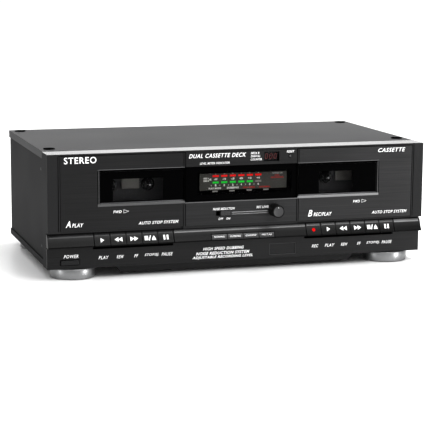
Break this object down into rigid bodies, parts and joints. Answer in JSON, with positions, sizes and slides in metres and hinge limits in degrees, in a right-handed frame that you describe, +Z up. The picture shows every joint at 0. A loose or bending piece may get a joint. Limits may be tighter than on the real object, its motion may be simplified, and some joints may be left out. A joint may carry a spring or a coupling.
{
  "type": "dual cassette deck",
  "caption": "Full-width cassette deck with side-by-side tilting cassette doors, piano keys beneath them, a central meter and controls, and round silver feet.",
  "frame": {"origin": "centre of the base of the whole deck, on the surface its feet stand on", "axes": "+X to the right seen from the front, +Y from the front to the back, +Z up"},
  "size_m": [0.43, 0.26, 0.1369],
  "materials": {
    "painted_steel": "satin dark grey paint",
    "hairline_black": "black with a fine horizontal hairline",
    "black_moulding": "satin black",
    "gloss_black": "half-gloss black",
    "smoked_window": "clear smoked acrylic",
    "silver_feet": "bright turned",
    "bright_steel": "ground",
    "brass": "turned",
    "rubber": "matt",
    "dark_metal": "dark satin",
    "meter_grey": "printed grey film",
    "circuit_board": "solder mask",
    "iron_core": "laminated, varnished"
  },
  "bodies": {
    "chassis": {"top_cover": "painted_steel", "side_panel_left": "painted_steel", "side_panel_right": "painted_steel", "chassis_tray": "painted_steel", "foot_front_left": "silver_feet", "foot_front_right": "silver_feet", "foot_back_left": "silver_feet", "foot_back_right": "silver_feet", "fascia_frame": "black_moulding", "lower_fascia": "black_moulding", "trim_bar": "gloss_black", "upper_plate": "hairline_black", "lower_plate": "hairline_black", "display_lens": "smoked_window", "meter_panel": "meter_grey", "key_pivot_rod": "bright_steel", "mechanism_plate_a": "dark_metal", "mechanism_plate_b": "dark_metal", "drive_belt": "rubber", "motor": "bright_steel", "main_board": "circuit_board", "transformer": "iron_core", "jack_block": "black_moulding", "mains_inlet": "black_moulding"},
    "cassette_door_a": {"door_a": "hairline_black", "door_window_a": "smoked_window", "cassette_holder_a": "black_moulding"},
    "cassette_door_b": {"door_b": "hairline_black", "door_window_b": "smoked_window", "cassette_holder_b": "black_moulding"},
    "key_a_play": {"key_a_play": "gloss_black"},
    "key_a_rewind": {"key_a_rewind": "gloss_black"},
    "key_a_fast_forward": {"key_a_fast_forward": "gloss_black"},
    "key_a_stop_eject": {"key_a_stop_eject": "gloss_black"},
    "key_a_pause": {"key_a_pause": "gloss_black"},
    "key_b_record": {"key_b_record": "gloss_black"},
    "key_b_play": {"key_b_play": "gloss_black"},
    "key_b_rewind": {"key_b_rewind": "gloss_black"},
    "key_b_fast_forward": {"key_b_fast_forward": "gloss_black"},
    "key_b_stop_eject": {"key_b_stop_eject": "gloss_black"},
    "key_b_pause": {"key_b_pause": "gloss_black"},
    "head_sled_a": {"head_sled_a": "bright_steel"},
    "pinch_roller_a": {"pinch_roller_a": "rubber"},
    "capstan_flywheel_a": {"capstan_flywheel_a": "bright_steel"},
    "reel_spindle_a_supply": {"reel_spindle_a_supply": "black_moulding"},
    "reel_spindle_a_takeup": {"reel_spindle_a_takeup": "black_moulding"},
    "head_sled_b": {"head_sled_b": "bright_steel"},
    "pinch_roller_b": {"pinch_roller_b": "rubber"},
    "capstan_flywheel_b": {"capstan_flywheel_b": "bright_steel"},
    "reel_spindle_b_supply": {"reel_spindle_b_supply": "black_moulding"},
    "reel_spindle_b_takeup": {"reel_spindle_b_takeup": "black_moulding"},
    "motor_pulley": {"motor_pulley": "brass"},
    "record_level_knob": {"record_level_knob": "black_moulding"},
    "noise_reduction_switch": {"noise_reduction_switch": "black_moulding"},
    "power_button": {"power_button": "black_moulding"},
    "reset_button": {"reset_button": "black_moulding"},
    "selector_button_1": {"selector_button_1": "gloss_black"},
    "selector_button_2": {"selector_button_2": "gloss_black"},
    "selector_button_3": {"selector_button_3": "gloss_black"},
    "selector_button_4": {"selector_button_4": "gloss_black"}
  },
  "joints": [
    {"name": "door_a_hinge", "type": "hinge", "parent": "chassis", "child": "cassette_door_a", "pos_m": [-0.1215, -0.11, 0.0564], "axis": [1, 0, 0], "range_deg": [0, 28]},
    {"name": "door_b_hinge", "type": "hinge", "parent": "chassis", "child": "cassette_door_b", "pos_m": [0.1271, -0.11, 0.0564], "axis": [1, 0, 0], "range_deg": [0, 28]},
    {"name": "key_a_play_press", "type": "hinge", "parent": "chassis", "child": "key_a_play", "pos_m": [-0.1557, -0.062, 0.0425], "axis": [1, 0, 0], "range_deg": [0, 6], "stiffness_Nm_per_rad": 1.2, "springref_deg": -4.58},
    {"name": "key_a_rewind_press", "type": "hinge", "parent": "chassis", "child": "key_a_rewind", "pos_m": [-0.1381, -0.062, 0.0425], "axis": [1, 0, 0], "range_deg": [0, 6], "stiffness_Nm_per_rad": 1.2, "springref_deg": -4.58},
    {"name": "key_a_fast_forward_press", "type": "hinge", "parent": "chassis", "child": "key_a_fast_forward", "pos_m": [-0.1205, -0.062, 0.0425], "axis": [1, 0, 0], "range_deg": [0, 6], "stiffness_Nm_per_rad": 1.2, "springref_deg": -4.58},
    {"name": "key_a_stop_eject_press", "type": "hinge", "parent": "chassis", "child": "key_a_stop_eject", "pos_m": [-0.1029, -0.062, 0.0425], "axis": [1, 0, 0], "range_deg": [0, 6], "stiffness_Nm_per_rad": 1.2, "springref_deg": -4.58},
    {"name": "key_a_pause_press", "type": "hinge", "parent": "chassis", "child": "key_a_pause", "pos_m": [-0.0853, -0.062, 0.0425], "axis": [1, 0, 0], "range_deg": [0, 6], "stiffness_Nm_per_rad": 1.2, "springref_deg": -4.58},
    {"name": "key_b_record_press", "type": "hinge", "parent": "chassis", "child": "key_b_record", "pos_m": [0.0853, -0.062, 0.0425], "axis": [1, 0, 0], "range_deg": [0, 6], "stiffness_Nm_per_rad": 1.2, "springref_deg": -4.58},
    {"name": "key_b_play_press", "type": "hinge", "parent": "chassis", "child": "key_b_play", "pos_m": [0.1029, -0.062, 0.0425], "axis": [1, 0, 0], "range_deg": [0, 6], "stiffness_Nm_per_rad": 1.2, "springref_deg": -4.58},
    {"name": "key_b_rewind_press", "type": "hinge", "parent": "chassis", "child": "key_b_rewind", "pos_m": [0.1205, -0.062, 0.0425], "axis": [1, 0, 0], "range_deg": [0, 6], "stiffness_Nm_per_rad": 1.2, "springref_deg": -4.58},
    {"name": "key_b_fast_forward_press", "type": "hinge", "parent": "chassis", "child": "key_b_fast_forward", "pos_m": [0.1381, -0.062, 0.0425], "axis": [1, 0, 0], "range_deg": [0, 6], "stiffness_Nm_per_rad": 1.2, "springref_deg": -4.58},
    {"name": "key_b_stop_eject_press", "type": "hinge", "parent": "chassis", "child": "key_b_stop_eject", "pos_m": [0.1557, -0.062, 0.0425], "axis": [1, 0, 0], "range_deg": [0, 6], "stiffness_Nm_per_rad": 1.2, "springref_deg": -4.58},
    {"name": "key_b_pause_press", "type": "hinge", "parent": "chassis", "child": "key_b_pause", "pos_m": [0.1733, -0.062, 0.0425], "axis": [1, 0, 0], "range_deg": [0, 6], "stiffness_Nm_per_rad": 1.2, "springref_deg": -4.58},
    {"name": "head_sled_a_slide", "type": "slide", "parent": "chassis", "child": "head_sled_a", "axis": [0, 0, 1], "range_m": [0, 0.005]},
    {"name": "pinch_roller_a_spin", "type": "hinge", "parent": "head_sled_a", "child": "pinch_roller_a", "pos_m": [-0.0975, -0.10035, 0.0572], "axis": [0, 1, 0], "continuous": true},
    {"name": "capstan_flywheel_a_spin", "type": "hinge", "parent": "chassis", "child": "capstan_flywheel_a", "pos_m": [-0.0975, -0.08, 0.0695], "axis": [0, 1, 0], "continuous": true},
    {"name": "reel_spindle_a_supply_spin", "type": "hinge", "parent": "chassis", "child": "reel_spindle_a_supply", "pos_m": [-0.14275, -0.094, 0.0983], "axis": [0, 1, 0], "continuous": true},
    {"name": "reel_spindle_a_takeup_spin", "type": "hinge", "parent": "chassis", "child": "reel_spindle_a_takeup", "pos_m": [-0.10025, -0.094, 0.0983], "axis": [0, 1, 0], "continuous": true},
    {"name": "head_sled_b_slide", "type": "slide", "parent": "chassis", "child": "head_sled_b", "axis": [0, 0, 1], "range_m": [0, 0.005]},
    {"name": "pinch_roller_b_spin", "type": "hinge", "parent": "head_sled_b", "child": "pinch_roller_b", "pos_m": [0.1511, -0.10035, 0.0572], "axis": [0, 1, 0], "continuous": true},
    {"name": "capstan_flywheel_b_spin", "type": "hinge", "parent": "chassis", "child": "capstan_flywheel_b", "pos_m": [0.1511, -0.08, 0.0695], "axis": [0, 1, 0], "continuous": true},
    {"name": "reel_spindle_b_supply_spin", "type": "hinge", "parent": "chassis", "child": "reel_spindle_b_supply", "pos_m": [0.10585, -0.094, 0.0983], "axis": [0, 1, 0], "continuous": true},
    {"name": "reel_spindle_b_takeup_spin", "type": "hinge", "parent": "chassis", "child": "reel_spindle_b_takeup", "pos_m": [0.14835, -0.094, 0.0983], "axis": [0, 1, 0], "continuous": true},
    {"name": "motor_pulley_spin", "type": "hinge", "parent": "chassis", "child": "motor_pulley", "pos_m": [0.028, -0.08, 0.11], "axis": [0, 1, 0], "continuous": true},
    {"name": "record_level_turn", "type": "hinge", "parent": "chassis", "child": "record_level_knob", "pos_m": [0.0372, -0.114, 0.0675], "axis": [0, 1, 0], "range_deg": [-150, 150]},
    {"name": "noise_reduction_slide", "type": "slide", "parent": "chassis", "child": "noise_reduction_switch", "axis": [1, 0, 0], "range_m": [-0.005, 0]},
    {"name": "power_button_press", "type": "slide", "parent": "chassis", "child": "power_button", "axis": [0, 1, 0], "range_m": [0, 0.003], "stiffness_N_per_m": 300, "springref_m": -0.002},
    {"name": "reset_button_press", "type": "slide", "parent": "chassis", "child": "reset_button", "axis": [0, 1, 0], "range_m": [0, 0.0012], "stiffness_N_per_m": 200, "springref_m": -0.001},
    {"name": "selector_button_1_press", "type": "slide", "parent": "chassis", "child": "selector_button_1", "axis": [0, 1, 0], "range_m": [0, 0.002], "stiffness_N_per_m": 300, "springref_m": -0.0015},
    {"name": "selector_button_2_press", "type": "slide", "parent": "chassis", "child": "selector_button_2", "axis": [0, 1, 0], "range_m": [0, 0.002], "stiffness_N_per_m": 300, "springref_m": -0.0015},
    {"name": "selector_button_3_press", "type": "slide", "parent": "chassis", "child": "selector_button_3", "axis": [0, 1, 0], "range_m": [0, 0.002], "stiffness_N_per_m": 300, "springref_m": -0.0015},
    {"name": "selector_button_4_press", "type": "slide", "parent": "chassis", "child": "selector_button_4", "axis": [0, 1, 0], "range_m": [0, 0.002], "stiffness_N_per_m": 300, "springref_m": -0.0015}
  ],
  "couplings": [
    {"joint": "head_sled_a_slide", "follows": "key_a_play_press", "m_per_rad": 0.047555},
    {"joint": "head_sled_b_slide", "follows": "key_b_play_press", "m_per_rad": 0.047555},
    {"joint": "capstan_flywheel_b_spin", "follows": "capstan_flywheel_a_spin", "ratio": 1},
    {"joint": "motor_pulley_spin", "follows": "capstan_flywheel_a_spin", "ratio": 5.5}
  ]
}
